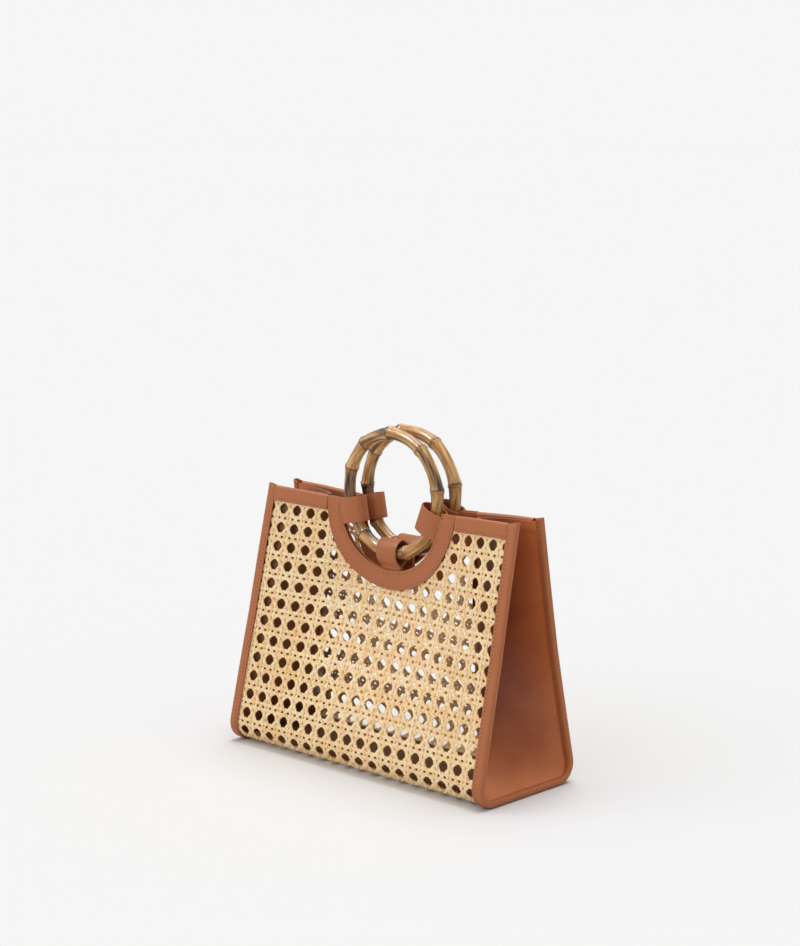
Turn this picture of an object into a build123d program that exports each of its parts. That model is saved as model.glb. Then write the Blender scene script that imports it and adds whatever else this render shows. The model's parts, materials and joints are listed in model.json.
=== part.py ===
"""Basket box bag: a folded sheet of woven cane between two leather gussets, with two bamboo ring handles."""

import os
from math import atan2, cos, degrees, pi, radians, sin, sqrt, tan

from build123d import *

# Bag body
bag_width = 274.0
bag_height = 202.0
bottom_depth = 105.0
mouth_depth = 30.0
shoulder_height = 105.0
shoulder_depth = 56.0
bottom_radius = 14.0
bow_depth = 11.5
mouth_bow = 5.5
bow_start_height = 39.0
bow_peak_height = 130.0
bow_across_shares = (-1.0, -0.75, -0.5, -0.25, 0.0, 0.25, 0.5, 0.75, 1.0)

# Sheet materials
cane_thickness = 2.2
leather_thickness = 1.3
seam_gap = 0.1

# Weave of the cane
weave_pitch = 24.0
gap_width = 11.0
gap_margin = 3.0
ridge_width = 3.2
ridge_height = 0.7
lowest_gap_height = 27.0

# Bindings of the side seams and of the mouth
edge_binding_width = 9.0
ear_height = 3.0
top_binding_height = 12.0
inner_leaf_inset = 31.0

# Gussets
gusset_drop = 0.6
fold_depth = 49.0
fold_level_shares = (0.0, 0.12, 0.28, 0.48, 0.72, 1.0)
fold_depth_shares = (0.0, 0.36, 0.64, 0.84, 0.96, 1.0)
fold_curve_shares = (-1.0, -0.92, -0.75, -0.5, 0.0, 0.5, 0.75, 0.92, 1.0)
fold_power = 4

# Ring handles
ring_radius = 46.0
ring_tube_radius = 5.0
ring_rise = 8.0
node_count = 10
node_first_angle = 18.0
node_rise = 0.6
node_length = 3.6
tube_sides = 10
span_pieces = 2

# Collars round the handle cut-outs
collar_clearance = 2.0
collar_band = 15.0
collar_centre_rise = 4.0

# Loops that hold the rings
loop_width = 20.0
loop_clearance = 0.4
loop_slack = 7.0
loop_spacing = 5.8
tail_length = 7.0
loop_angles = {"left": -158.0, "right": -22.0, "bottom": -90.0}

# Base board
board_thickness = 3.0
board_clearance = 4.0
board_corner_cut = 5.0

overrun = 5.0

# Worked out from the sizes above
half_width = bag_width / 2
base_height = leather_thickness + seam_gap
upper_lean = atan2((shoulder_depth - mouth_depth) / 2, bag_height - shoulder_height)
lower_lean = atan2((bottom_depth - shoulder_depth) / 2, shoulder_height - base_height)
binding_start = half_width - edge_binding_width
channel_end = half_width - leather_thickness - seam_gap
flange_out = -cane_thickness - seam_gap
flange_in = flange_out - leather_thickness
mouth_cap = seam_gap + leather_thickness
node_radius = ring_tube_radius + node_rise
loop_ply = cane_thickness / 2
loop_inner = node_radius + loop_clearance
loop_outer = loop_inner + loop_ply
ring_height = bag_height + ring_rise
ring_offset = loop_outer + loop_spacing / 2
collar_height = bag_height + collar_centre_rise
collar_inner_radius = ring_radius + node_radius + collar_clearance
collar_outer_radius = collar_inner_radius + collar_band

os.makedirs("parts", exist_ok=True)


def wall_half_depth(height, shift):
    """Half the depth of the upper wall at a height, for a layer shifted out from the cane's face."""
    return mouth_depth / 2 + (bag_height - height) * tan(upper_lean) + shift / cos(upper_lean)


def lower_half_depth(height, shift):
    """Half the depth of the lower wall at a height, for a layer shifted out from the cane's face."""
    return shoulder_depth / 2 + (shoulder_height - height) * tan(lower_lean) + shift / cos(lower_lean)


def envelope(shift, top):
    """The bag's side outline, filled, for a layer shifted outwards from the cane's outer face."""
    kink = shift * (1 / cos(lower_lean) - 1 / cos(upper_lean)) / (tan(lower_lean) - tan(upper_lean))
    kink_height = shoulder_height + kink
    low_height = base_height - shift
    right_side = [
        (wall_half_depth(top, shift), top),
        (wall_half_depth(kink_height, shift), kink_height),
        (lower_half_depth(low_height, shift), low_height),
    ]
    left_side = [(-depth, height) for depth, height in reversed(right_side)]
    with BuildSketch() as outline:
        with BuildLine():
            Polyline(*right_side, *left_side, close=True)
        make_face()
        fillet(outline.vertices().group_by(Axis.Y)[0], bottom_radius + shift)
    return outline.sketch


def band(inner_shift, outer_shift, top):
    """The cut face of one layer of the folded sheet, between two shifts from the cane's outer face."""
    with BuildSketch() as layer:
        add(envelope(outer_shift, top))
        add(envelope(inner_shift, top + overrun), mode=Mode.SUBTRACT)
    return layer.sketch


def bow_at(height):
    """How far the middle of a wall is drawn in at a height: most at the peak, and less at the mouth."""
    if height > bow_peak_height:
        share = (height - bow_peak_height) / (bag_height - bow_peak_height)
        return bow_depth - (bow_depth - mouth_bow) * share
    share = max(0, height - bow_start_height) / (bow_peak_height - bow_start_height)
    return bow_depth * share**2 * (3 - 2 * share)


def plain_half_depth(height, shift):
    """Half the depth of the side outline at a height, for a layer shifted out from the cane's face."""
    return max(wall_half_depth(height, shift), lower_half_depth(height, shift))


def drawn_half_depth(across, height, shift):
    """Half the depth of the drawn-in wall at a place, for a layer shifted out from the cane's face."""
    middle_share = cos(min(1, abs(across) / binding_start) * pi / 2) ** 2
    return plain_half_depth(height, shift) - bow_at(height) * middle_share


def wall_layer(side, inner_shift, outer_shift, levels, reach):
    """One layer of a drawn-in wall, lofted through its plans at some levels, as far as a reach."""
    seam = min(reach, binding_start)
    with BuildPart() as layer:
        for level in levels:
            with BuildSketch(Plane.XY.offset(level)):
                with BuildLine():
                    faces = []
                    for shift in (inner_shift, outer_shift):
                        places = [share * seam for share in bow_across_shares]
                        points = [(x, side * drawn_half_depth(x, level, shift)) for x in places]
                        curve = Spline(*points, tangents=((1, 0), (1, 0)))
                        ends = [curve @ 0, curve @ 1]
                        if reach > seam:
                            ends = [(-reach, points[0][1]), (reach, points[-1][1])]
                            Line(ends[0], curve @ 0)
                            Line(curve @ 1, ends[1])
                        faces.append(ends)
                    Line(faces[0][0], faces[1][0])
                    Line(faces[0][1], faces[1][1])
                make_face()
        loft(ruled=True)
    return layer.part


def ring_plane(side):
    """The upright plane of a ring handle, facing out of the bag."""
    return Plane((0, side * ring_offset, ring_height), x_dir=(-side, 0, 0), z_dir=(0, side, 0))


def save(builder, name):
    """Label a finished piece and write it."""
    builder.part.label = name
    export_step(builder.part, f"parts/{name}.step")


# Woven cane sheet, with raised strands between the rows of gaps
weave_top = bag_height - top_binding_height - gap_margin
gap_rows = round((weave_top - lowest_gap_height) / weave_pitch)
gap_columns = int(2 * (binding_start - gap_margin) / weave_pitch)
column_reach = (gap_columns - 1) / 2 * weave_pitch
gap_free_radius = collar_outer_radius + gap_margin + gap_width / 2
gap_places = [
    (column * weave_pitch - column_reach, lowest_gap_height + row * weave_pitch)
    for column in range(gap_columns)
    for row in range(gap_rows)
]
open_gaps = [
    (across, height)
    for across, height in gap_places
    if across**2 + (collar_height - height) ** 2 > gap_free_radius**2
]
ridge_heights = [lowest_gap_height + (row - 1 / 2) * weave_pitch for row in range(gap_rows + 1)]
lower_levels = [level for level in ridge_heights if bow_start_height < level < shoulder_height]
wall_levels = sorted([bow_start_height, *lower_levels, shoulder_height, bow_peak_height])
cane_levels = [*wall_levels, bag_height]
leaf_levels = [*wall_levels, bag_height + overrun]

with BuildPart() as ridges:
    with BuildSketch(Plane.YZ):
        add(band(-cane_thickness / 2, ridge_height, weave_top))
        with BuildSketch(mode=Mode.INTERSECT):
            with Locations(*[(0, height) for height in ridge_heights if height < bow_start_height]):
                Rectangle(2 * bottom_depth, ridge_width)
    extrude(amount=binding_start - seam_gap, both=True)
    for height in ridge_heights:
        if height >= bow_start_height:
            edges = (height - ridge_width / 2, height + ridge_width / 2)
            for side in (-1, 1):
                add(wall_layer(side, -cane_thickness / 2, ridge_height, edges, binding_start - seam_gap))
    with BuildSketch(Plane.XZ):
        with Locations((0, collar_height)):
            Circle(collar_outer_radius + gap_margin)
    extrude(amount=bottom_depth, both=True, mode=Mode.SUBTRACT)

with BuildPart() as cane_body:
    with BuildSketch(Plane.YZ):
        add(band(-cane_thickness, 0, bag_height))
        with Locations((0, bow_start_height)):
            Rectangle(
                2 * bottom_depth, 2 * bag_height, align=(Align.CENTER, Align.MAX), mode=Mode.INTERSECT
            )
    extrude(amount=channel_end, both=True)
    for side in (-1, 1):
        add(wall_layer(side, -cane_thickness, 0, cane_levels, channel_end))
    add(ridges.part)
    with BuildSketch(Plane.XZ):
        with Locations((0, collar_height)):
            Circle(collar_inner_radius + tail_length)
        with Locations(*open_gaps):
            RegularPolygon(gap_width / 2, side_count=8, major_radius=False, rotation=22.5)
    extrude(amount=bottom_depth, both=True, mode=Mode.SUBTRACT)
save(cane_body, "cane_body")

# Leather gussets, folded inwards towards the mouth
gusset_top = bag_height - gusset_drop
gusset_bottom = base_height - flange_out
gusset_rise = gusset_top - gusset_bottom
sheet_start = binding_start - leather_thickness


def fold_points(half_depth, depth, shift):
    """Points on one face of the folded gusset, in plan: inwards from the seam, then across the bag."""
    points = []
    for share in fold_curve_shares:
        slope = fold_power * depth * share ** (fold_power - 1) / half_depth
        length = sqrt(1 + slope**2)
        inward = depth * (1 - share**fold_power)
        points.append((shift / length - inward, half_depth * share - shift * slope / length))
    return points


with BuildPart() as gusset_right:
    for level_share, depth_share in zip(fold_level_shares, fold_depth_shares):
        level = gusset_bottom + level_share * gusset_rise
        half_depth = plain_half_depth(level, (flange_out + flange_in) / 2)
        depth = fold_depth * depth_share
        with BuildSketch(Plane((sheet_start, 0, level))):
            with BuildLine():
                outer_face = Spline(*fold_points(half_depth, depth, leather_thickness / 2))
                inner_face = Spline(*fold_points(half_depth, depth, -leather_thickness / 2))
                Line(outer_face @ 0, inner_face @ 0)
                Line(outer_face @ 1, inner_face @ 1)
            make_face()
    loft(ruled=True)
    with BuildSketch(Plane.YZ):
        add(envelope(flange_out, bag_height))
    extrude(amount=half_width, mode=Mode.INTERSECT)
    with BuildSketch(Plane.YZ.offset(sheet_start - leather_thickness)):
        add(band(flange_in, flange_out, gusset_top))
    extrude(amount=channel_end - sheet_start + leather_thickness)
save(gusset_right, "gusset_right")

with BuildPart() as gusset_left:
    mirror(gusset_right.part, about=Plane.YZ)
save(gusset_left, "gusset_left")

# Leather bindings of the side seams
binding_out = seam_gap + leather_thickness
binding_in = flange_in - seam_gap - leather_thickness

with BuildPart() as edge_binding_right:
    with BuildSketch(Plane.YZ.offset(binding_start)):
        add(band(binding_in, binding_out, bag_height + ear_height))
    extrude(amount=edge_binding_width)
    with BuildSketch(Plane.YZ.offset(binding_start)):
        add(band(flange_in - seam_gap, seam_gap, bag_height + seam_gap))
    extrude(amount=edge_binding_width - leather_thickness, mode=Mode.SUBTRACT)
save(edge_binding_right, "edge_binding_right")

with BuildPart() as edge_binding_left:
    mirror(edge_binding_right.part, about=Plane.YZ)
save(edge_binding_left, "edge_binding_left")

# Leather folded over the mouth's edge, from side seam to collar; its inner leaf makes room for the gusset
top_binding_end = sqrt(collar_outer_radius**2 - (collar_centre_rise - mouth_cap) ** 2) + seam_gap
top_binding_length = binding_start - seam_gap - top_binding_end
top_binding_middle = top_binding_end + top_binding_length / 2

for side, face in ((-1, "front"), (1, "back")):
    for across, hand in ((-1, "left"), (1, "right")):
        with BuildPart() as top_binding:
            add(wall_layer(side, flange_in, binding_out, leaf_levels, binding_start))
            with BuildSketch(Plane.XZ):
                with Locations((across * top_binding_middle, bag_height + mouth_cap)):
                    Rectangle(top_binding_length, top_binding_height, align=(Align.CENTER, Align.MAX))
            extrude(amount=bottom_depth, both=True, mode=Mode.INTERSECT)
            with BuildPart(mode=Mode.SUBTRACT):
                add(wall_layer(side, flange_out, seam_gap, leaf_levels, binding_start))
                with BuildSketch(Plane.XZ):
                    with Locations((0, bag_height + seam_gap)):
                        Rectangle(bag_width, bag_height, align=(Align.CENTER, Align.MAX))
                extrude(amount=bottom_depth, both=True, mode=Mode.INTERSECT)
            with BuildPart(mode=Mode.SUBTRACT):
                add(wall_layer(side, flange_in - overrun, flange_out, leaf_levels, binding_start))
                with BuildSketch(Plane.XZ):
                    with Locations((across * binding_start, bag_height + seam_gap)):
                        Rectangle(2 * inner_leaf_inset, bag_height, align=(Align.CENTER, Align.MAX))
                extrude(amount=bottom_depth, both=True, mode=Mode.INTERSECT)
        save(top_binding, f"top_binding_{face}_{hand}")

# Leather collars round the handle cut-outs, and their facings on the inside
for side, face in ((-1, "front"), (1, "back")):
    for name, shift in (("collar", seam_gap), ("collar_facing", flange_in)):
        with BuildPart() as collar:
            add(wall_layer(side, shift, shift + leather_thickness, leaf_levels, binding_start))
            with BuildSketch(Plane.XZ):
                with Locations((0, collar_height)):
                    Circle(collar_outer_radius)
                    Circle(collar_inner_radius, mode=Mode.SUBTRACT)
                with Locations((0, bag_height + mouth_cap)):
                    Rectangle(
                        2 * collar_outer_radius,
                        2 * collar_outer_radius,
                        align=(Align.CENTER, Align.MAX),
                        mode=Mode.INTERSECT,
                    )
            extrude(amount=bottom_depth, both=True, mode=Mode.INTERSECT)
        save(collar, f"{name}_{face}")

# Bamboo ring handles: one span from node to node, repeated round the ring
span_angle = 2 * pi / node_count
node_angle = node_length / 2 / ring_radius
piece_angle = (span_angle - 2 * node_angle) / span_pieces
plain_sections = [(node_angle + piece * piece_angle, ring_tube_radius) for piece in range(span_pieces + 1)]
span_sections = [(0, node_radius), *plain_sections, (span_angle, node_radius)]

with BuildPart() as bamboo_span:
    for turn, radius in span_sections:
        radial = Vector(cos(turn), sin(turn), 0)
        tangent = Vector(-sin(turn), cos(turn), 0)
        with BuildSketch(Plane(radial * ring_radius, x_dir=radial, z_dir=tangent)):
            RegularPolygon(radius, side_count=tube_sides)
    loft(ruled=True)

with BuildPart() as bamboo_ring:
    with PolarLocations(0, node_count, start_angle=node_first_angle):
        add(bamboo_span.part)

for side, face in ((-1, "front"), (1, "back")):
    with BuildPart() as ring_handle:
        with Locations(ring_plane(side)):
            add(bamboo_ring.part)
    save(ring_handle, f"ring_handle_{face}")

# Leather loops that hold the rings, with their tails between collar and facing
collar_drop = ring_height - collar_height
half_side = degrees(pi / tube_sides)
tail_start = ring_radius + loop_inner
tail_end_radius = collar_inner_radius + tail_length - seam_gap

for side, face in ((-1, "front"), (1, "back")):
    plane = ring_plane(side)
    for place, turn in loop_angles.items():
        angle = radians(turn if side < 0 else 180 - turn)
        radial = plane.x_dir * cos(angle) + plane.y_dir * sin(angle)
        tangent = plane.x_dir * sin(angle) - plane.y_dir * cos(angle)
        aside = loop_width / 2 + collar_drop * abs(cos(angle))
        collar_reach = sqrt(collar_inner_radius**2 - aside**2) - collar_drop * sin(angle)
        neck = collar_reach - ring_radius - loop_clearance - 2 * loop_ply
        neck_height = ring_height + (ring_radius + neck) * sin(angle)
        neck_across = (ring_radius + neck) * cos(angle)
        neck_out = drawn_half_depth(neck_across, neck_height, -cane_thickness / 2) - ring_offset
        with BuildPart() as loop:
            with BuildSketch(Plane(plane.origin + radial * ring_radius, x_dir=radial, z_dir=tangent)):
                with Locations((-loop_slack, 0), (0, 0)):
                    RegularPolygon(loop_outer, tube_sides, major_radius=False, rotation=half_side)
                with Locations((neck, neck_out)):
                    RegularPolygon(loop_ply, side_count=tube_sides)
                make_hull()
                with BuildSketch(mode=Mode.SUBTRACT):
                    with Locations((-loop_slack, 0), (0, 0)):
                        RegularPolygon(loop_inner, tube_sides, major_radius=False, rotation=half_side)
                    with Locations((neck - 2 * loop_ply, neck_out - loop_ply)):
                        RegularPolygon(seam_gap, side_count=4)
                    make_hull()
            extrude(amount=loop_width / 2, both=True)
            with BuildPart():
                add(wall_layer(side, -cane_thickness, 0, leaf_levels, binding_start))
                with BuildSketch(Plane.XZ):
                    with Locations(Location((0, ring_height, 0), turn)):
                        with Locations((tail_start, 0)):
                            Rectangle(collar_outer_radius, loop_width, align=(Align.MIN, Align.CENTER))
                    with Locations((0, collar_height)):
                        Circle(tail_end_radius, mode=Mode.INTERSECT)
                extrude(amount=bottom_depth, both=True, mode=Mode.INTERSECT)
        save(loop, f"loop_{face}_{place}")

# Leather-covered board on the base
board_width = 2 * (sheet_start - leather_thickness - board_clearance)
bend_reach = bottom_radius / tan((pi / 2 - lower_lean) / 2)
board_depth = bottom_depth - 2 * bend_reach

with BuildPart() as base_board:
    with BuildSketch(Plane.XY.offset(base_height + cane_thickness)):
        board = Rectangle(board_width, board_depth)
        chamfer(board.vertices(), board_corner_cut)
    extrude(amount=board_thickness)
save(base_board, "base_board")
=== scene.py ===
"""Basket box bag: woven cane, folded leather gussets, bound seams and bamboo ring handles."""

import json
import math

import bmesh
import bpy
import numpy as np
from bpy.props import FloatProperty, FloatVectorProperty, PointerProperty
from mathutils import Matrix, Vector


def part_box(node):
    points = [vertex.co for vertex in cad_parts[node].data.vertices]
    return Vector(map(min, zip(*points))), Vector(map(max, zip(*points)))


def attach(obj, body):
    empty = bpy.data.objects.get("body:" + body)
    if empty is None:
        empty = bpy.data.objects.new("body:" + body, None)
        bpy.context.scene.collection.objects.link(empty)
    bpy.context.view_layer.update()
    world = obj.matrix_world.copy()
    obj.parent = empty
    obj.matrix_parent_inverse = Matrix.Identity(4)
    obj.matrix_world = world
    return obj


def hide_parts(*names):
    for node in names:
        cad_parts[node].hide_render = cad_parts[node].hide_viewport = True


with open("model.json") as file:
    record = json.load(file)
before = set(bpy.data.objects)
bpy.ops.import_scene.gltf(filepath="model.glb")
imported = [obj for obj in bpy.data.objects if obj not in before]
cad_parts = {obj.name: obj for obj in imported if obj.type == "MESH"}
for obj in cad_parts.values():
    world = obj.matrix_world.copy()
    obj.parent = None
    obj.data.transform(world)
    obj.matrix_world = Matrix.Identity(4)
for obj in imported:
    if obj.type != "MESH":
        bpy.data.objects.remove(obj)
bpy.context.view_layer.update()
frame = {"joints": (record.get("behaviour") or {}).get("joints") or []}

bl_info = {
    "name": "Basket Box Bag",
    "version": (1, 0, 0),
    "blender": (4, 5, 0),
    "location": "3D View > Sidebar > Basket Bag",
    "description": "Dresses the solids of a cane box bag in woven cane, leather and bamboo",
    "category": "Object",
}

MM = 0.001
SEAM_TUCK = 2.5 * MM
HALF_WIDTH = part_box("edge_binding_right")[1].x - SEAM_TUCK
BAG_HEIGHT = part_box("cane_body")[1].z
BASE_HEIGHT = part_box("cane_body")[0].z
GUSSET_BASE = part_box("gusset_right")[0].z
GUSSET_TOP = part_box("gusset_right")[1].z
TOP_BINDING_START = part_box("top_binding_front_right")[0].x
TOP_BINDING_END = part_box("top_binding_front_right")[1].x - SEAM_TUCK
RING_CENTRES = {joint["child"]: Vector(joint["pos_m"]) for joint in frame["joints"]}
FACES = {"front": -1, "back": 1}
HANDS = {"left": -1, "right": 1}

# Sockets of a node that mixes colours
MIX_FIRST = 6
MIX_SECOND = 7
MIX_COLOUR = 2

# Points along the bends and the whole side view of the wall
BEND_STEPS = 16
WALL_STEPS = 400

# How the standing bag gives: where the lean of the seams starts from the middle, how far it takes to grow,
# how wide the drawn-in middle of a wall is, and the height from which the mouth's dip grows
LEAN_START_LEFT = 22 * MM
LEAN_START_RIGHT = 70 * MM
LEAN_SPAN = 58 * MM
BOW_HALF_WIDTH = 130 * MM
DIP_FOOT = 40 * MM

# How far the middle of a wall is drawn in, by height, and how much that line is softened
BOW_HEIGHTS = np.array((0, 20, 39, 53, 67, 95, 123, 138, 150, 188, 215)) * MM
BOW_DEPTHS = np.array((0, 0, 0, 1.9, 4.7, 11.3, 17, 17.7, 16.6, 8.8, 4)) * MM
BOW_STEPS = 216
BOW_BLUR = 19

# The first kinds of strand are upright or level and the rest slant; how dark the edges of the first are
# made, partly a darker cut edge and partly painted shade in the gaps between strands
STRAIGHT_KINDS = 4
STRAIGHT_RIM = 0.86

# Where the cane ends under the bindings, and the share of half the sheet at which its skew is nothing
SIDE_MARGIN = 3 * MM
MOUTH_MARGIN = 1 * MM
SKEW_REACH = 0.62

# Gussets: how soon the fold grows with height, how round it is, its flare at the base and its doubled hem
FOLD_ONSET = 3.2
FOLD_ROUNDNESS = 2.3
FLARE = 3.5 * MM
FLARE_HEIGHT = 30 * MM
HEM_LAYERS = 1.9

# Where a mouth binding's inner leaf grows short beside a gusset
SHORT_LEAF_START = 104 * MM
SHORT_LEAF_SPAN = 3 * MM

# How far the collars stand out over the tails of the loops, and how far those tails reach past the rings
TAIL_RELIEF = 0.7 * MM
TAIL_REACH = 17 * MM

# Each loop: where it holds its ring and which way its strap runs, in degrees, and its reach inwards in mm
LOOPS = {"left": (-158, -169, 13.5), "right": (-22, -22, 14), "bottom": (-90, -90, 11)}
LOOP_THICKNESS = 1.1 * MM

# Places of the bamboo's nodes round each ring, in degrees
RING_NODES = {
    "front": (9, 51, 93, 129, 160, 196, 229, 258, 288, 327),
    "back": (12, 57, 102, 144, 180, 218, 248, 278, 306, 339),
}

# What sets the streaks of each ring and span apart, and their size along and round the stem
FACE_SEEDS = {"front": 0.4, "back": 1.3}
SPAN_SEED = 2.4
SPAN_GRAIN = 31.7
GRAIN_LENGTH = 9 * MM
GRAIN_ROUND = 5

# Lamps: azimuth, elevation and spread in degrees; the brightness that a bare view of the backdrop has
LAMPS = {"key": (-165, 78, 40), "fill": (-20, 45, 70), "shine": (-35, 55, 10)}
BACKDROP = 0.92
FLOOR_REACH = 400.0


def linear(code):
    """An sRGB hex colour as linear red, green, blue and alpha."""
    shares = [int(code[place : place + 2], 16) / 255 for place in (1, 3, 5)]
    return (*[s / 12.92 if s <= 0.04045 else ((s + 0.055) / 1.055) ** 2.4 for s in shares], 1.0)


def length(label, words, size):
    """A size in millimetres that a user may change."""
    return FloatProperty(name=label, description=words, default=size * MM, unit="LENGTH", precision=4)


def colour(label, words, code):
    """A finish colour that a user may change."""
    return FloatVectorProperty(
        name=label, description=words, default=linear(code), size=4, subtype="COLOR", min=0, max=1
    )


def bearing(label, words, degrees):
    """An angle in degrees that a user may change."""
    return FloatProperty(name=label, description=words, default=math.radians(degrees), unit="ROTATION")


def amount(label, words, value):
    """A plain number that a user may change."""
    return FloatProperty(name=label, description=words, default=value)


class WallSizes(bpy.types.PropertyGroup):
    """Side view of the folded cane, and how the standing bag gives."""

    mouth_depth: length("Mouth depth", "Front to back at the corners of the mouth", 30.5)
    shoulder_height: length("Shoulder height", "Height where the wall starts to flare", 105)
    shoulder_depth: length("Shoulder depth", "Front to back at the shoulder", 66)
    bottom_depth: length("Bottom depth", "Front to back on the base", 110.8)
    shoulder_radius: length("Shoulder radius", "Soft bend at the shoulder", 180)
    bottom_radius: length("Bottom radius", "Bend from the wall to the base", 14)
    mouth_draw: length("Mouth draw", "How far each side seam leans in at the mouth", 4.0)
    mouth_shift: length("Mouth shift", "How far the mouth stands forward of the solids", 2.0)
    base_shift: length("Base shift", "How far the base stands forward of the solids", 6.4)
    dip: length("Mouth dip", "How far the middle of the mouth hangs below its corners", 3.5)


class WeaveSizes(bpy.types.PropertyGroup):
    """The octagon weave of the cane."""

    pitch_across: length("Pitch across", "Hole to hole across the bag", 14.16)
    pitch_down: length("Pitch down", "Hole to hole along the folded sheet", 14.9)
    first_column: length("First column", "Middle of the bag to the middle of the nearest holes", -4.15)
    first_row: length("First row", "Mouth edge to the middle of the first holes", 0.8)
    skew: length("Skew", "How far the weave runs aside from the base up to the mouth", 3.5)
    pair_upright: length("Upright pair", "Middle of an upright strand from the middle of its pair", 1.55)
    pair_level: length("Level pair", "Middle of a level strand from the middle of its pair", 2.1)
    strand_width: length("Strand width", "Width of an upright or level strand of cane", 2.7)
    slant_width: length("Slant width", "Width of a slanting strand of cane", 2.7)
    strand_thickness: length("Strand thickness", "Thickness of one strand of cane", 0.8)
    weave_height: length("Weave height", "How far a strand rises where it passes over another", 0.5)
    sheet_middle: length("Sheet middle", "Middle of the cane from its outer face", -1.1)
    cut_radius: length("Cut radius", "Where the strands end under the collars", 60)


class LeatherSizes(bpy.types.PropertyGroup):
    """Bindings, collars, loops and gussets."""

    thickness: length("Thickness", "Thickness of one layer of leather", 0.95)
    edge_width: length("Edge binding width", "Width of each leaf of a side seam's binding", 9)
    top_height: length("Top binding height", "Height of each leaf of the mouth's binding", 12)
    top_rise: length("Top rise", "Top of the mouth's binding above the cane's edge", 1.6)
    ear: length("Ear", "How far a side binding stands above the mouth", 3)
    lining_width: length("Lining leaf width", "Width of a binding's leaf on the gusset", 5.6)
    outer_leaf: length("Outer leaf", "Middle of the leather that lies on the cane", 0.55)
    inner_leaf: length("Inner leaf", "Middle of the leather behind the cane", -2.6)
    lining_leaf: length("Lining leaf", "Middle of the binding's leaf behind the gusset", -3.65)
    collar_inner: length("Collar inner radius", "Inner edge of the collars", 53.6)
    collar_outer: length("Collar outer radius", "Outer edge of the collars", 68.6)
    collar_rise: length("Collar rise", "Middle of the collars above the mouth's edge", 4)
    loop_width: length("Loop width", "Width of the straps that hold the rings", 20)
    fold_depth: length("Fold depth", "How far a gusset folds in at the mouth", 49)
    hem: length("Hem", "Height of the turned hem of a gusset", 8)


class RingSizes(bpy.types.PropertyGroup):
    """The bamboo rings."""

    radius: length("Radius", "Middle of the tube from the ring's centre", 46)
    tube: length("Tube radius", "Radius of the bamboo between its nodes", 5)
    node_rise: length("Node rise", "How far a node stands out", 0.55)
    flatness: length("Flatness", "How far a span between nodes lies inside the circle", 0.6)


class StitchSizes(bpy.types.PropertyGroup):
    """Sewing thread."""

    spacing: length("Spacing", "Stitch to stitch", 3.1)
    long: length("Stitch length", "Thread that shows in one stitch", 2.1)
    wide: length("Thread width", "Width of the thread", 0.6)
    inset: length("Inset", "Seam from the edge of its leather", 2.2)


class Colours(bpy.types.PropertyGroup):
    """Finish colours."""

    cane_pale: colour("Cane, pale", "The lightest strands", "#FFE4B6")
    cane_warm: colour("Cane, warm", "The darkest strands", "#F6CB90")
    # Strand edge colour: partly a darker cut edge, partly painted shade in the gaps where strands cross.
    cane_edge_and_gap_shade: colour("Cane, cut edge", "Darker pith along the edges of a strand", "#B98046")
    leather: colour("Leather", "Dyed tan leather", "#AE663B")
    leather_deep: colour("Leather, deep", "Tan leather where the dye is heavier", "#A05A30")
    gusset: colour("Gusset leather", "Softer leather of the gussets", "#D67E48")
    # The gusset ramp runs from its leather colour near the seams and base to painted shade deep in the fold;
    # the deep end also takes the dye shifts.
    gusset_fold_shade_and_dye: colour("Gusset leather, deep", "Gusset leather, dyed deeper in the fold", "#843A17")
    flesh: colour("Leather, flesh side", "Undressed side of the gussets, inside the bag", "#7A4E28")
    lining: colour("Lining", "Cloth on the base board", "#6A4218")
    thread: colour("Thread", "Sewing thread", "#BE7745")
    needle_hole: colour("Needle hole", "Shadow where the thread goes in", "#4A2414")
    honey: colour("Bamboo, honey", "Bamboo skin", "#B0782F")
    rose: colour("Bamboo, rose", "Bamboo skin, warmed by the flame", "#8A5226")
    straw: colour("Bamboo, straw", "The palest bamboo skin", "#EBC88E")
    scorch: colour("Bamboo, scorched", "Bamboo burnt by the flame", "#2E150C")
    floor: colour("Floor", "Studio floor", "#DFDFDF")


class StageSettings(bpy.types.PropertyGroup):
    """Camera and light."""

    azimuth: bearing("Azimuth", "Camera round the bag", 43.61)
    elevation: bearing("Elevation", "Camera above the bag", 9.02)
    distance: length("Distance", "Camera to the point it looks at", 1577.2)
    aim_height: length("Aim height", "Height of the point the camera looks at", 224.87)
    aim_depth: length("Aim depth", "That point's place from front to back", -2.0)
    lens: amount("Lens", "Focal length in millimetres", 78.94)
    sky: amount("Sky", "Strength of the light from all round", 0.4)
    key: amount("Key", "Strength of the main lamp", 2.0)
    shine: amount("Shine", "Strength of the small lamp that only polished skins show", 2.0)
    fill: amount("Fill", "Strength of the lamp in front of the bag", 1.0)


class BasketBag(bpy.types.PropertyGroup):
    """All that can be set on the bag."""

    wall: PointerProperty(type=WallSizes)
    weave: PointerProperty(type=WeaveSizes)
    leather: PointerProperty(type=LeatherSizes)
    ring: PointerProperty(type=RingSizes)
    stitch: PointerProperty(type=StitchSizes)
    colours: PointerProperty(type=Colours)
    stage: PointerProperty(type=StageSettings)


def settings():
    """The bag's settings on this scene."""
    return bpy.context.scene.basket_bag


# The folded sheet that every wall piece lies on


def rounded_corner(before, corner, after, radius):
    """Points of the arc that rounds a corner of the side view."""
    to_before = (before - corner) / np.linalg.norm(before - corner)
    to_after = (after - corner) / np.linalg.norm(after - corner)
    half_angle = np.arccos(to_before @ to_after) / 2
    inward = (to_before + to_after) / np.linalg.norm(to_before + to_after)
    centre = corner + inward * radius / np.sin(half_angle)
    start = corner + to_before * radius / np.tan(half_angle) - centre
    end = corner + to_after * radius / np.tan(half_angle) - centre
    turn = np.pi - 2 * half_angle
    shares = np.linspace(0, 1, BEND_STEPS)[:, None]
    return centre + (np.sin((1 - shares) * turn) * start + np.sin(shares * turn) * end) / np.sin(turn)


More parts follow.
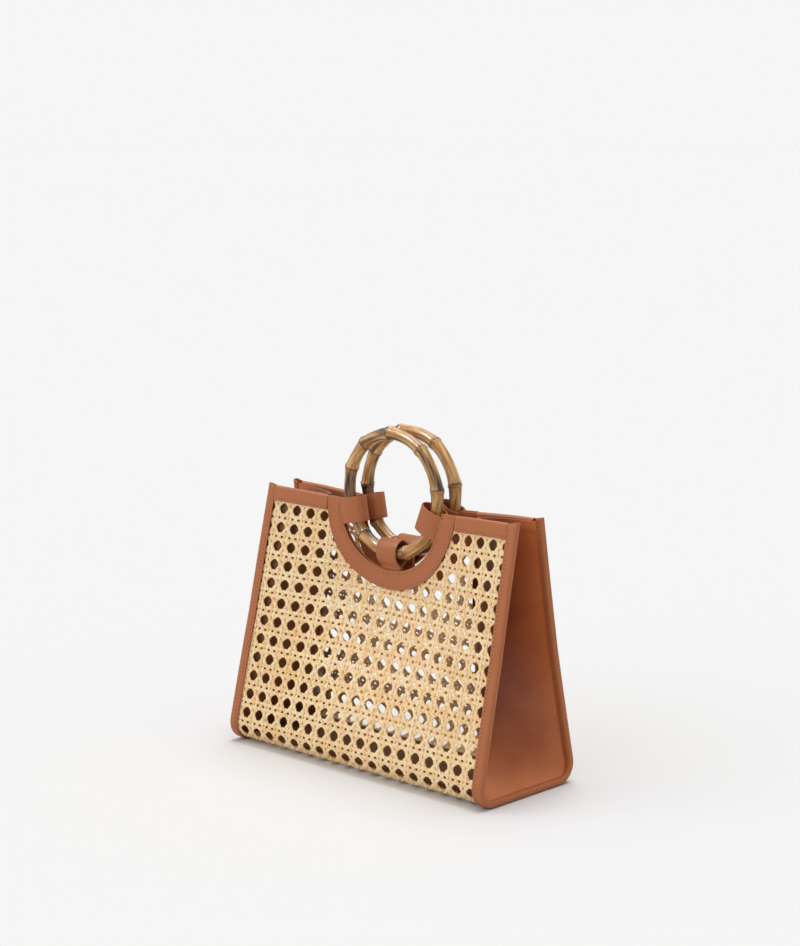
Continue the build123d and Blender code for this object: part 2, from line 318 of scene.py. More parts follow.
def wall_line():
    """Outer face of the cane from mouth to middle of the base: distances, points and ways out."""
    wall = settings().wall
    mouth = np.array((wall.mouth_depth / 2, BAG_HEIGHT))
    shoulder = np.array((wall.shoulder_depth / 2, wall.shoulder_height))
    heel = np.array((wall.bottom_depth / 2, BASE_HEIGHT))
    middle = np.array((0.0, BASE_HEIGHT))
    bends = [
        rounded_corner(mouth, shoulder, heel, wall.shoulder_radius),
        rounded_corner(shoulder, heel, middle, wall.bottom_radius),
    ]
    corners = np.vstack([mouth, *bends, middle])
    reach = np.concatenate([[0], np.cumsum(np.linalg.norm(np.diff(corners, axis=0), axis=1))])
    distances = np.linspace(0, reach[-1], WALL_STEPS)
    points = np.stack([np.interp(distances, reach, corners[:, axis]) for axis in (0, 1)], axis=1)
    along = np.gradient(points, distances, axis=0)
    along /= np.linalg.norm(along, axis=1)[:, None]
    return distances, points, np.stack([-along[:, 1], along[:, 0]], axis=1)


def half_sheet():
    """Length of the cane from the mouth's edge to the middle of the base."""
    return wall_line()[0][-1]


def bow(height):
    """How far the middle of a wall is drawn in at a height."""
    fine = np.linspace(BOW_HEIGHTS[0], BOW_HEIGHTS[-1], BOW_STEPS)
    rough = np.pad(np.interp(fine, BOW_HEIGHTS, BOW_DEPTHS), BOW_BLUR // 2, mode="edge")
    kernel = np.hanning(BOW_BLUR)
    return np.interp(height, fine, np.convolve(rough, kernel / kernel.sum(), "valid"))


def settle(points):
    """The shape that the standing bag takes: seams lean in at the mouth, walls draw in at the middle."""
    wall = settings().wall
    across, depth, height = np.moveaxis(np.asarray(points, float), -1, 0)
    lean = -wall.mouth_draw * np.clip(height / BAG_HEIGHT, 0, 1.05)
    start = np.where(across < 0, LEAN_START_LEFT, LEAN_START_RIGHT)
    outer = np.clip((np.abs(across) - start) / LEAN_SPAN, 0, 1)
    moved = across + np.sign(across) * lean * outer * outer * (3 - 2 * outer)
    middle = np.cos(np.pi / 2 * np.clip(across / BOW_HALF_WIDTH, -1, 1)) ** 2
    drawn = depth - np.sign(depth) * bow(height) * middle
    sunk = height - wall.dip * middle * np.clip((height - DIP_FOOT) / (BAG_HEIGHT - DIP_FOOT), 0, 1)
    return np.stack([moved, drawn - shift_forward(height), sunk], axis=-1)


def shift_forward(height):
    """How far the bag leans forward of its solids at a height."""
    wall = settings().wall
    rise = np.clip(np.asarray(height) / BAG_HEIGHT, 0, 1)
    return wall.mouth_shift + (wall.base_shift - wall.mouth_shift) * (1 - rise**2)


def on_sheet(across, along, out):
    """Points on the folded cane: across the bag, along it from the front mouth edge, out from its face."""
    across, along, out = np.broadcast_arrays(across, along, out)
    distances, line, ways = wall_line()
    behind = along > distances[-1]
    travel = np.where(behind, 2 * distances[-1] - along, along)
    above = np.minimum(travel, 0)
    way_depth = np.interp(travel, distances, ways[:, 0])
    way_height = np.interp(travel, distances, ways[:, 1])
    depth = np.interp(travel, distances, line[:, 0]) + above * ways[0, 1] + out * way_depth
    height = np.interp(travel, distances, line[:, 1]) - above * ways[0, 0] + out * way_height
    return settle(np.stack([across, np.where(behind, depth, -depth), height], axis=-1))


def on_face(side, down):
    """Distance along the sheet for a place below the mouth's edge on the front or the back."""
    return down if side < 0 else 2 * half_sheet() - down


# Meshes


def beside_each(places, value):
    """Places with one value beside each of them."""
    return np.column_stack([places, np.full(len(places), value)])


def read_points(mesh):
    """The places of a mesh's points."""
    flat = np.zeros(len(mesh.vertices) * 3, np.float32)
    mesh.vertices.foreach_get("co", flat)
    return flat.reshape(-1, 3).astype(float)


def write_points(mesh, points):
    """Move a mesh's points."""
    mesh.vertices.foreach_set("co", points.astype(np.float32).ravel())


def mark_points(mesh, name, values, kind="FLOAT", field="value"):
    """Keep a value for each point of a mesh."""
    plain = np.asarray(values, np.int32 if kind == "INT" else np.float32)
    mesh.attributes.new(name, kind, "POINT").data.foreach_set(field, plain.ravel())


def outline(line, thickness):
    """Cut outline of a layer of leather whose middle follows a flat line."""
    line = np.asarray(line, float)
    along = np.gradient(line, axis=0)
    along /= np.linalg.norm(along, axis=1)[:, None]
    ways = np.stack([-along[:, 1], along[:, 0]], axis=1)
    return np.vstack([line + ways * thickness / 2, (line - ways * thickness / 2)[::-1]])


def smooth_line(points, steps):
    """A smooth line through points, with a number of steps between each two."""
    points = np.asarray(points, float)
    ends = np.vstack([2 * points[0] - points[1], points, 2 * points[-1] - points[-2]])
    share = np.arange(steps)[:, None] / steps
    runs = []
    for first, second, third, fourth in zip(ends, ends[1:], ends[2:], ends[3:]):
        pull = (third - first) * share + (2 * first - 5 * second + 4 * third - fourth) * share**2
        pull += (3 * second - first - 3 * third + fourth) * share**3
        runs.append(second + pull / 2)
    return np.vstack([*runs, points[-1]])


def new_piece(name, data):
    """An object at the origin for a mesh in the bag's frame, or for a lamp or camera."""
    piece = bpy.data.objects.new(name, data)
    bpy.context.scene.collection.objects.link(piece)
    return piece


def sweep(name, stations, closed=False):
    """A piece through rings of points, with its open ends closed by strips."""
    count, around = stations.shape[:2]
    faces = []
    for station in range(count if closed else count - 1):
        here = station * around
        there = (station + 1) % count * around
        for step in range(around):
            beside = (step + 1) % around
            faces.append((here + step, here + beside, there + beside, there + step))
    if not closed:
        for start in (0, (count - 1) * around):
            for step in range(around // 2 - 1):
                far = around - 1 - step
                faces.append((start + step, start + step + 1, start + far - 1, start + far))
    mesh = bpy.data.meshes.new(name)
    mesh.from_pydata(stations.reshape(-1, 3).tolist(), [], faces)
    face_out(mesh)
    return new_piece(name, mesh)


def face_out(mesh):
    """Turn every face of closed shells outwards."""
    work = bmesh.new()
    work.from_mesh(mesh)
    bmesh.ops.recalc_face_normals(work, faces=work.faces)
    work.to_mesh(mesh)
    work.free()


def apply_modifiers(piece):
    """Make the piece a plain mesh of what its modifiers give."""
    piece.update_tag()
    depsgraph = bpy.context.evaluated_depsgraph_get()
    plain = bpy.data.meshes.new_from_object(piece.evaluated_get(depsgraph))
    rough = piece.data
    piece.modifiers.clear()
    piece.data = plain
    bpy.data.meshes.remove(rough)


def round_edges(piece, width):
    """Round the cut edges of a layer."""
    bevel = piece.modifiers.new("Rounded edges", "BEVEL")
    bevel.width = width
    bevel.segments = 2
    bevel.limit_method = "ANGLE"
    bevel.angle_limit = math.radians(50)
    apply_modifiers(piece)


def finish_piece(piece, material, body, slot, *nodes):
    """Shade a piece, give it its material, tie it to its body and hide the solids that it stands for."""
    piece.data.shade_smooth()
    piece.data.set_sharp_from_angle(angle=math.radians(45))
    piece.data.materials.clear()
    piece.data.materials.append(material)
    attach(piece, body)
    if nodes:
        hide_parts(*nodes)


def leather_piece(name, stations, rounding, material="tan_cowhide", marks=None):
    """A layer of leather through rings of points, in place of the solid of that name."""
    piece = sweep(f"{name}_leather", stations)
    for mark, values in (marks or {}).items():
        mark_points(piece.data, mark, values)
    round_edges(piece, rounding)
    finish_piece(piece, kept_material(material), "bag", "leather", name)


# Node trees


def add_node(tree, kind, inputs=None, **values):
    """Add a node with its settings, and its inputs as values or links."""
    made = tree.nodes.new(kind)
    for name, value in values.items():
        setattr(made, name, value)
    for key, value in (inputs or {}).items():
        if isinstance(value, bpy.types.NodeSocket):
            tree.links.new(value, made.inputs[key])
        else:
            made.inputs[key].default_value = value
    return made


def new_geometry_tree(name, sockets):
    """A geometry tree with named inputs; returns the tree and its input node."""
    tree = bpy.data.node_groups.new(name, "GeometryNodeTree")
    tree.interface.new_socket("Geometry", in_out="INPUT", socket_type="NodeSocketGeometry")
    for label, kind in sockets.items():
        tree.interface.new_socket(label, in_out="INPUT", socket_type=f"NodeSocket{kind}")
    tree.interface.new_socket("Geometry", in_out="OUTPUT", socket_type="NodeSocketGeometry")
    return tree, tree.nodes.new("NodeGroupInput")


def run_tree(piece, tree, values):
    """Run a geometry tree on a piece with its inputs set, and keep the plain mesh."""
    modifier = piece.modifiers.new(tree.name, "NODES")
    modifier.node_group = tree
    for socket in tree.interface.items_tree:
        if socket.in_out == "INPUT" and socket.name in values:
            modifier[socket.identifier] = values[socket.name]
    apply_modifiers(piece)


def copies_on_points(tree, points, shape, **turns):
    """Real copies of an object, one on each point."""
    info = add_node(tree, "GeometryNodeObjectInfo", {"Object": shape})
    inputs = {"Points": points, "Instance": info.outputs["Geometry"], **turns}
    copies = add_node(tree, "GeometryNodeInstanceOnPoints", inputs)
    return add_node(tree, "GeometryNodeRealizeInstances", {0: copies.outputs["Instances"]}).outputs[0]


def dressed(tree, geometry, material, selection=True):
    """Geometry that wears a material where it is selected."""
    inputs = {"Geometry": geometry, "Selection": selection, "Material": material}
    return add_node(tree, "GeometryNodeSetMaterial", inputs).outputs[0]


# Materials


def new_material(name):
    """An empty material and its tree."""
    material = bpy.data.materials.new(name)
    material.use_nodes = True
    material.node_tree.nodes.clear()
    return material, material.node_tree


def surface(material, tree, **inputs):
    """Close a material's tree with a surface."""
    named = {name.replace("_", " "): value for name, value in inputs.items()}
    shader = add_node(tree, "ShaderNodeBsdfPrincipled", named)
    add_node(tree, "ShaderNodeOutputMaterial", {"Surface": shader.outputs[0]})
    return material


def object_place(tree):
    """Where a point of the surface is, in the bag's frame."""
    return add_node(tree, "ShaderNodeTexCoord").outputs["Object"]


def attribute(tree, name, output="Fac"):
    """A value kept on the points of a mesh."""
    return add_node(tree, "ShaderNodeAttribute", attribute_name=name).outputs[output]


def noise(tree, place, scale, detail, roughness=0.5):
    """Soft uneven spots, from nothing to one."""
    inputs = {"Vector": place, "Scale": scale, "Detail": detail, "Roughness": roughness}
    return add_node(tree, "ShaderNodeTexNoise", inputs).outputs["Fac"]


def arithmetic(tree, operation, *values):
    """A sum or product of values."""
    return add_node(tree, "ShaderNodeMath", dict(enumerate(values)), operation=operation).outputs[0]


def map_range(tree, value, low, high, least=0.0, most=1.0):
    """A value between two limits, carried over to two others."""
    inputs = {"Value": value, "From Min": low, "From Max": high, "To Min": least, "To Max": most}
    return add_node(tree, "ShaderNodeMapRange", inputs).outputs[0]


def mix(tree, share, first, second, blend="MIX"):
    """A share of one colour over another."""
    inputs = {0: share, MIX_FIRST: first, MIX_SECOND: second}
    return add_node(tree, "ShaderNodeMix", inputs, data_type="RGBA", blend_type=blend).outputs[MIX_COLOUR]


def ramp(tree, value, stops):
    """Colours along a value, with stops given as place and colour."""
    made = add_node(tree, "ShaderNodeValToRGB", {"Fac": value})
    while len(made.color_ramp.elements) < len(stops):
        made.color_ramp.elements.new(0.5)
    for element, (place, shade) in zip(made.color_ramp.elements, stops):
        element.position = place
        element.color = shade
    return made.outputs["Color"]


def bump(tree, height, strength, distance):
    """Fine relief from a height."""
    inputs = {"Height": height, "Strength": strength, "Distance": distance}
    return add_node(tree, "ShaderNodeBump", inputs).outputs["Normal"]


def cane_material(name):
    """Peeled rattan: pale straw strands, each its own shade, with a soft natural gloss and brown flecks."""
    colours = settings().colours
    material, tree = new_material(name)
    place = object_place(tree)
    patch = noise(tree, place, 1 / (30 * MM), 3.0)
    fleck = noise(tree, place, 1 / (2.5 * MM), 2.0)
    shade = arithmetic(tree, "ADD", attribute(tree, "tone"), patch)
    half = arithmetic(tree, "MULTIPLY", shade, 0.5)
    strands = ramp(tree, half, [(0.25, colours.cane_warm), (0.7, colours.cane_pale)])
    flecks = ramp(tree, fleck, [(0.28, linear("#B98F58")), (0.42, linear("#FFFFFF"))])
    flecked = mix(tree, 0.55, strands, flecks, "MULTIPLY")
    # Strand edges darkened: partly a darker cut edge, partly painted shade in the gaps between strands.
    cut = map_range(tree, attribute(tree, "rim"), 0.6, 1.0, 0.0, 0.75)
    edged = mix(tree, cut, flecked, colours.cane_edge_and_gap_shade)
    return surface(material, tree, Base_Color=edged, Roughness=0.5, IOR=1.45, Specular_IOR_Level=0.4)


def leather_material(name, deep, full, dull):
    """Smooth dyed cowhide: even tan, slow shifts of dye, fine pebbled grain and a soft semi-matt sheen; on
    the gussets, painted shade that deepens into the fold.
    """
    material, tree = new_material(name)
    place = object_place(tree)
    dye = noise(tree, place, 1 / (35 * MM), 4.0)
    slow = arithmetic(tree, "MULTIPLY", dye, 0.45)
    # Painted shade: the fold mark darkens the gussets towards the depth of their fold, added to the slow dye
    # shifts.
    dye_with_fold_shade = arithmetic(tree, "MULTIPLY_ADD", attribute(tree, "fold"), 0.8, slow)
    tint = ramp(tree, dye_with_fold_shade, [(0.12, full), (0.82, deep)])
    skin = mix(tree, attribute(tree, "flesh"), tint, settings().colours.flesh)
    pebbles = {"Vector": place, "Scale": 1 / (0.9 * MM)}
    grain = add_node(tree, "ShaderNodeTexVoronoi", pebbles, feature="SMOOTH_F1")
    dents = bump(tree, grain.outputs["Distance"], 0.12, 0.15 * MM)
    sheen = map_range(tree, dye, 0.0, 1.0, dull - 0.07, dull + 0.07)
    return surface(
        material, tree, Base_Color=skin, Roughness=sheen, Normal=dents, IOR=1.45, Specular_IOR_Level=0.45
    )


def bamboo_material(name):
    """Flame-bent lacquered bamboo: honey skin streaked along the stem, scorched patches, dark grooves."""
    colours = settings().colours
    material, tree = new_material(name)
    grain = attribute(tree, "grain", "Vector")
    streak = noise(tree, grain, 0.42, 3.0, 0.55)
    patch = noise(tree, grain, 0.24, 2.0)
    skin = ramp(tree, streak, [(0.26, colours.rose), (0.46, colours.honey), (0.7, colours.straw)])
    heat = arithmetic(tree, "MULTIPLY_ADD", patch, 1.7, attribute(tree, "burn"))
    ragged = arithmetic(tree, "MULTIPLY_ADD", streak, 0.45, heat)
    burnt = mix(tree, map_range(tree, ragged, 1.12, 1.42), skin, colours.scorch)
    lined = mix(tree, attribute(tree, "groove"), burnt, colours.scorch)
    return surface(
        material,
        tree,
        Base_Color=lined,
        Normal=bump(tree, streak, 0.15, 0.2 * MM),
        Roughness=0.3,
        IOR=1.5,
        Specular_IOR_Level=0.4,
        Coat_Weight=0.3,
        Coat_Roughness=0.1,
    )


def plain_material(name, shade, rough, grain):
    """A dyed fibre: one colour with small uneven spots, and a matt surface; also the painted shade of the
    needle holes.
    """
    material, tree = new_material(name)
    spots = noise(tree, object_place(tree), 1 / grain, 3.0)
    dark = [share * 0.8 for share in shade[:3]]
    tint = ramp(tree, spots, [(0.35, (*dark, 1.0)), (0.6, shade)])
    return surface(material, tree, Base_Color=tint, Roughness=rough)


def kept_material(name):
    """The bag's material of that name, made the first time that it is asked for."""
    colours = settings().colours
    makers = {
        "rattan_cane_peel": (cane_material,),
        "tan_cowhide": (leather_material, colours.leather_deep, colours.leather, 0.49),
        # Gusset leather: its deep colour is painted shade in the fold, mixed with dye shifts.
        "gusset_cowhide": (leather_material, colours.gusset_fold_shade_and_dye, colours.gusset, 0.42),
        "flamed_bamboo": (bamboo_material,),
        "board_cover": (plain_material, colours.lining, 0.8, 2 * MM),
        "sewing_thread": (plain_material, colours.thread, 0.6, 1 * MM),
        "needle_hole": (plain_material, colours.needle_hole, 0.8, 1 * MM),
    }
    maker, *details = makers[name]
    return bpy.data.materials.get(name) or maker(name, *details)


# Woven cane


def strand_lines():
    """One cell of the octagon weave: lines of share across, share down and over or under, by strand."""
    weave = settings().weave
    beside = weave.pair_upright / weave.pitch_across
    above = weave.pair_level / weave.pitch_down
    upright = [(-0.5, 0), (above - 0.5, 1), (-beside, -1), (beside, 1), (0.5 - above, -1), (0.5, 0)]
    level = [(-0.5, 0), (beside - 0.5, 1), (-above, -1), (above, 1), (0.5 - beside, -1), (0.5, 0)]
    lines = []
    for hand in (-1, 1):
        lines.append([(hand * (0.5 - beside), down, -hand * lift) for down, lift in upright])
        lines.append([(across, hand * (0.5 - above), hand * lift) for across, lift in level])
    corner = [(0.5, 0, 1), (0.5 - beside, beside, -1), (above, 0.5 - above, 1), (0, 0.5, -1)]
    for across in (-1, 1):
        for down in (-1, 1):
            sign = -across * down
            lines.append([(across * a, down * d, sign * lift) for a, d, lift in corner])
    return lines


def weave_cell():
    """The cell's strands as one small mesh, with a number for each kind of strand."""
    weave = settings().weave
    pitch = np.array((weave.pitch_across, weave.pitch_down, weave.weave_height))
    lift = np.array((0, 0, weave.strand_thickness / 2))
    vertices = []
    faces = []
    kinds = []
    rims = []
    for kind, line in enumerate(strand_lines()):
        points = np.array(line) * pitch
        along = points[-1] - points[0]
        straight = kind < STRAIGHT_KINDS
        width = weave.strand_width if straight else weave.slant_width
        rim = STRAIGHT_RIM if straight else 1
        beside = np.array((-along[1], along[0], 0)) / np.hypot(along[0], along[1]) * width / 2
        for place, point in enumerate(points):
            first = len(vertices)
            vertices += [point - beside, point + lift, point + beside, point - lift]
            kinds += [kind] * 4
            rims += [rim, 0, rim, 0]
            if place:
                for step in range(4):
                    beyond = (step + 1) % 4
                    faces.append((first - 4 + step, first - 4 + beyond, first + beyond, first + step))
    mesh = bpy.data.meshes.new("weave_cell")
    mesh.from_pydata([tuple(v) for v in vertices], [], faces)
    mark_points(mesh, "kind", kinds, "INT")
    mark_points(mesh, "rim", rims)
    return new_piece("weave_cell", mesh)


def weave_tree():
    """Cells of the weave set side by side on a flat grid and joined where their strands meet."""
    sockets = {"Cell": "Object", "Columns": "Int", "Rows": "Int"}
    sockets |= {"Width": "Float", "Length": "Float", "Material": "Material"}
    tree, given = new_geometry_tree("Octagon weave", sockets)
    sizes = {"Size X": "Width", "Size Y": "Length", "Vertices X": "Columns", "Vertices Y": "Rows"}
    inputs = {name: given.outputs[label] for name, label in sizes.items()}
    grid = add_node(tree, "GeometryNodeMeshGrid", inputs)
    cells = copies_on_points(tree, grid.outputs["Mesh"], given.outputs["Cell"])
    joined = add_node(tree, "GeometryNodeMergeByDistance", {"Geometry": cells, "Distance": 0.01 * MM})
    cane = dressed(tree, joined.outputs[0], given.outputs["Material"])
    add_node(tree, "NodeGroupOutput", {0: cane})
    return tree


def strand_tones(kinds, flat):
    """A steady random shade for each strand, from its kind and its place."""
    weave = settings().weave
    across = (flat[:, 0] - weave.first_column) / weave.pitch_across
    down = (flat[:, 1] - weave.first_row) / weave.pitch_down
    line = np.where(kinds % 2 == 0, across, down)
    line = np.where((kinds == 4) | (kinds == 7), across + down + 0.5, line)
    line = np.where((kinds == 5) | (kinds == 6), across - down + 0.5, line)
    seed = np.sin(np.round(line) * 12.9898 + np.minimum(kinds, 5) * 78.233) * 43758.5453
    return seed - np.floor(seed)


def aside(flat):
    """Where the flat weave's points lie across the bag once the weave runs askew."""
    return flat[:, 0] + settings().weave.skew * (1 - flat[:, 1] / (SKEW_REACH * half_sheet()))


def trim_weave(mesh, flat):
    """Take out the strands past the sheet's edges and inside the collars, and close the cut ends."""
    down = np.minimum(flat[:, 1], 2 * half_sheet() - flat[:, 1])
    across = aside(flat)
    lost = (np.abs(across) > HALF_WIDTH - SIDE_MARGIN) | (down < MOUTH_MARGIN)
    lost |= np.hypot(across, down + settings().leather.collar_rise) < settings().weave.cut_radius
    work = bmesh.new()
    work.from_mesh(mesh)
    work.verts.ensure_lookup_table()
    bmesh.ops.delete(work, geom=[work.verts[index] for index in np.flatnonzero(lost)], context="VERTS")
    open_edges = [edge for edge in work.edges if edge.is_boundary]
    bmesh.ops.holes_fill(work, edges=open_edges, sides=4)
    bmesh.ops.recalc_face_normals(work, faces=work.faces)
    work.to_mesh(mesh)
    work.free()


class BAG_OT_cane(bpy.types.Operator):
    """Weave the cane flat, trim it and fold it round the base"""

    bl_idname = "basket_bag.cane"
    bl_label = "Woven Cane"

    def execute(self, context):
        weave = settings().weave
        columns = 2 * math.ceil(HALF_WIDTH / weave.pitch_across) + 3
        rows = math.ceil(2 * half_sheet() / weave.pitch_down) + 3
        cell = weave_cell()
        piece = new_piece("woven_cane", bpy.data.meshes.new("woven_cane"))
        values = {
            "Cell": cell,
            "Columns": columns,
            "Rows": rows,
            "Width": (columns - 1) * weave.pitch_across,
            "Length": (rows - 1) * weave.pitch_down,
            "Material": kept_material("rattan_cane_peel"),
        }
        run_tree(piece, weave_tree(), values)
        bpy.data.objects.remove(cell)
        mesh = piece.data
        flat = read_points(mesh)
        flat[:, 0] += weave.first_column
        flat[:, 1] += (rows - 1) / 2 * weave.pitch_down + weave.first_row - weave.pitch_down
        write_points(mesh, flat)
        trim_weave(mesh, flat)
        flat = read_points(mesh)
        kinds = np.zeros(len(flat), np.int32)
        mesh.attributes["kind"].data.foreach_get("value", kinds)
        mark_points(mesh, "tone", strand_tones(kinds, flat))
        write_points(mesh, on_sheet(aside(flat), flat[:, 1], weave.sheet_middle + flat[:, 2]))
        face_out(mesh)
        finish_piece(piece, kept_material("rattan_cane_peel"), "bag", "cane", "cane_body")
        piece.data.set_sharp_from_angle(angle=math.radians(100))
        return {"FINISHED"}


# Leather


class BAG_OT_gussets(bpy.types.Operator):
    """Fold the leather gussets in towards the mouth"""

    bl_idname = "basket_bag.gussets"
    bl_label = "Gussets"

    def execute(self, context):
        for hand, side in HANDS.items():
            stations = np.stack([gusset_ring(height, thick) for height, thick in gusset_levels()])
            across = stations[..., 0].copy()
            stations[..., 0] *= side
            # The fold mark drives the painted shade deep in the gusset's fold, and the lighter leather near
            # its seams and base.
            fold = np.clip((across.max() - across) / settings().leather.fold_depth, 0, 1)
            flesh = np.zeros(fold.shape)
            flesh[:, : fold.shape[1] // 2] = 1
            marks = {"fold": fold, "flesh": flesh}
            leather_piece(f"gusset_{hand}", settle(stations), 0.3 * MM, "gusset_cowhide", marks)
        return {"FINISHED"}


def gusset_levels():
    """Heights and thicknesses of a gusset, from the base to the doubled leather of its hem."""
    leather = settings().leather
    low = GUSSET_BASE + leather.thickness / 2
    foot = low + np.array((0, 0.4, 1.2, 2.4, 4, 6, 9)) * MM
    wall = np.linspace(low + 14 * MM, GUSSET_TOP - 12 * MM, 24)
    hem = GUSSET_TOP - leather.hem
    levels = [(height, leather.thickness) for height in (*foot, *wall, hem - 0.4 * MM)]
    doubled = HEM_LAYERS * leather.thickness
    return levels + [(height, doubled) for height in (hem, GUSSET_TOP - leather.hem / 2, GUSSET_TOP)]


def gusset_line(height):
    """A gusset's middle in plan at a height: seam edge, fold and seam edge again."""
    leather = settings().leather
    line, ways = wall_line()[1:]
    inner = line + ways * leather.inner_leaf
    wall = inner[: np.argmin(inner[:, 1]) + 1][::-1]
    half_depth = np.interp(height, wall[:, 1], wall[:, 0])
    rise = np.clip((height - GUSSET_BASE) / (GUSSET_TOP - GUSSET_BASE), 0, 1)
    depth = leather.fold_depth * (1 - (1 - rise) ** FOLD_ONSET)
    seam = HALF_WIDTH - leather.lining_width - leather.thickness
    flare = np.clip(1 - (height - GUSSET_BASE) / FLARE_HEIGHT, 0, 1) ** 2 * FLARE
    shares = np.sin(np.linspace(-1, 1, 41) * np.pi / 2)
    fold = seam + flare - depth * (1 - np.abs(shares) ** FOLD_ROUNDNESS)
    plan = np.stack([fold, half_depth * shares], axis=1)
    reaches = (5 * MM, 3.8 * MM, max(1.2 * MM, flare + 0.2 * MM))
    edge = np.array([(seam + reach, half_depth) for reach in reaches])
    return np.vstack([edge * (1, -1), plan[1:-1], edge[::-1]])


def gusset_ring(height, thick):
    """Points round the cut edge of a gusset at a height."""
    return beside_each(outline(gusset_line(height), thick), height)


class BAG_OT_edge_bindings(bpy.types.Operator):
    """Wrap the side seams in folded leather"""

    bl_idname = "basket_bag.edge_bindings"
    bl_label = "Edge Bindings"

    def execute(self, context):
        leather = settings().leather
        sheet = 2 * half_sheet()
        start = HALF_WIDTH - leather.edge_width
        edge = HALF_WIDTH - leather.thickness / 2
        bend = 1.7 * MM
        turn = np.linspace(0, np.pi / 2, 6)
        swing = bend * np.stack([np.sin(turn), np.cos(turn)], axis=1)
        lower = np.array((edge - bend, leather.lining_leaf + bend)) + swing * (1, -1)
        upper = np.array((edge - bend, leather.outer_leaf - bend)) + swing[:, ::-1]
        inside = np.linspace(HALF_WIDTH - leather.lining_width, edge - bend, 4)[:-1]
        outside = np.linspace(start, edge - bend, 4)[-2::-1]
        leaves = beside_each(inside, leather.lining_leaf), beside_each(outside, leather.outer_leaf)
        section = outline(np.vstack([leaves[0], lower, upper, leaves[1]]), leather.thickness)
        tip = -leather.ear * (0.3 + 0.7 * (section[:, 0] - start) / leather.edge_width)
        ends = np.array((3 * MM, 9 * MM))
        run = np.linspace(15 * MM, sheet - 15 * MM, 150)
        places = np.concatenate([ends, run, sheet - ends[::-1]])
        level = np.repeat(places[:, None], len(tip), axis=1)
        along = np.vstack([tip, np.zeros_like(tip), level, np.full_like(tip, sheet), sheet - tip])
        for hand, side in HANDS.items():
            stations = on_sheet(side * section[None, :, 0], along, section[None, :, 1])
            leather_piece(f"edge_binding_{hand}", stations, 0.35 * MM)
        return {"FINISHED"}


def top_section(place):
    """Cut outline of a mouth binding at a place across: its inner leaf is short beside the gussets."""
    leather = settings().leather
    crest = -leather.top_rise + leather.thickness / 2
    low = leather.top_height - leather.top_rise
    middle = (leather.outer_leaf + leather.inner_leaf) / 2
    half = (leather.outer_leaf - leather.inner_leaf) / 2
    crown = 0.9 * MM
    leaf_top = crest + 1.4 * MM
    short_end = crest + 2.4 * MM
    turn = np.linspace(0, np.pi, 9)[1:-1]
    fold = np.stack([crest + crown - crown * np.sin(turn), middle + half * np.cos(turn)], axis=1)
    outer = np.linspace(low, leaf_top, 5)
    short = np.clip((place - SHORT_LEAF_START) / SHORT_LEAF_SPAN, 0, 1)
    inner = np.linspace(leaf_top, low + (short_end - low) * short, 5)
    leaves = beside_each(outer, leather.outer_leaf), beside_each(inner, leather.inner_leaf)
    return outline(np.vstack([leaves[0], fold, leaves[1]]), leather.thickness)


class BAG_OT_top_bindings(bpy.types.Operator):
    """Fold leather over the mouth's edge"""

    bl_idname = "basket_bag.top_bindings"
    bl_label = "Top Bindings"

    def execute(self, context):
        places = np.linspace(TOP_BINDING_START, TOP_BINDING_END, 24)
        sections = [(place, *top_section(place).T) for place in places]
        for face, side in FACES.items():
            for hand, across in HANDS.items():
                rings = [on_sheet(across * place, on_face(side, down), out) for place, down, out in sections]
                leather_piece(f"top_binding_{face}_{hand}", np.stack(rings), 0.3 * MM)
        return {"FINISHED"}


def collar_places(radius, share):
    """Across and down for places on the collars: by radius, and by share from the left end to the right."""
    leather = settings().leather
    cut = np.arcsin((leather.collar_rise - leather.top_rise) / radius)
    angle = np.pi + cut + (np.pi - 2 * cut) * share
    return radius * np.cos(angle), -leather.collar_rise - radius * np.sin(angle)


def tail_relief(across, down):
    """How far the collars stand out over the tails of the loops."""
    leather = settings().leather
    relief = np.zeros(np.broadcast(across, down).shape)
    up = BAG_HEIGHT - down - RING_CENTRES["front_ring"].z
    for place in LOOPS:
        way, start = loop_way(place)
        outward = (across - start[0]) * way[0] + (up - start[1]) * way[1]
        beside = np.abs((across - start[0]) * way[1] - (up - start[1]) * way[0])
        wide = np.clip((leather.loop_width / 2 + 1 * MM - beside) / (2 * MM), 0, 1)
        deep = np.clip((settings().ring.radius + TAIL_REACH - outward) / (4 * MM), 0, 1) * (outward > 0)
        relief = np.maximum(relief, wide * deep)
    return TAIL_RELIEF * relief


class BAG_OT_collars(bpy.types.Operator):
    """Lay the leather collars and their facings round the handle cut-outs"""

    bl_idname = "basket_bag.collars"
    bl_label = "Collars"

    def execute(self, context):
        leather = settings().leather
        radii = np.linspace(leather.collar_inner, leather.collar_outer, 7)
        shares = np.linspace(0, 1, 97)
        across, down = collar_places(radii[None, :], shares[:, None])
        half = leather.thickness / 2
        puffed = leather.outer_leaf + tail_relief(across, down)
        leaves = {"collar": puffed, "collar_facing": leather.inner_leaf}
        for face, side in FACES.items():
            along = on_face(side, down)
            for name, leaf in leaves.items():
                upper = on_sheet(across, along, leaf + half)
                lower = on_sheet(across, along, leaf - half)
                stations = np.concatenate([upper, lower[:, ::-1]], axis=1)
                leather_piece(f"{name}_{face}", stations, 0.35 * MM)
        return {"FINISHED"}


def loop_way(place):
    """The way a loop's strap runs, and where that line starts from the ring's centre, across and up."""
    angle, lean = [math.radians(turn) for turn in LOOPS[place][:2]]
    way = np.array((math.cos(lean), math.sin(lean)))
    return way, settings().ring.radius * (np.array((math.cos(angle), math.sin(angle))) - way)


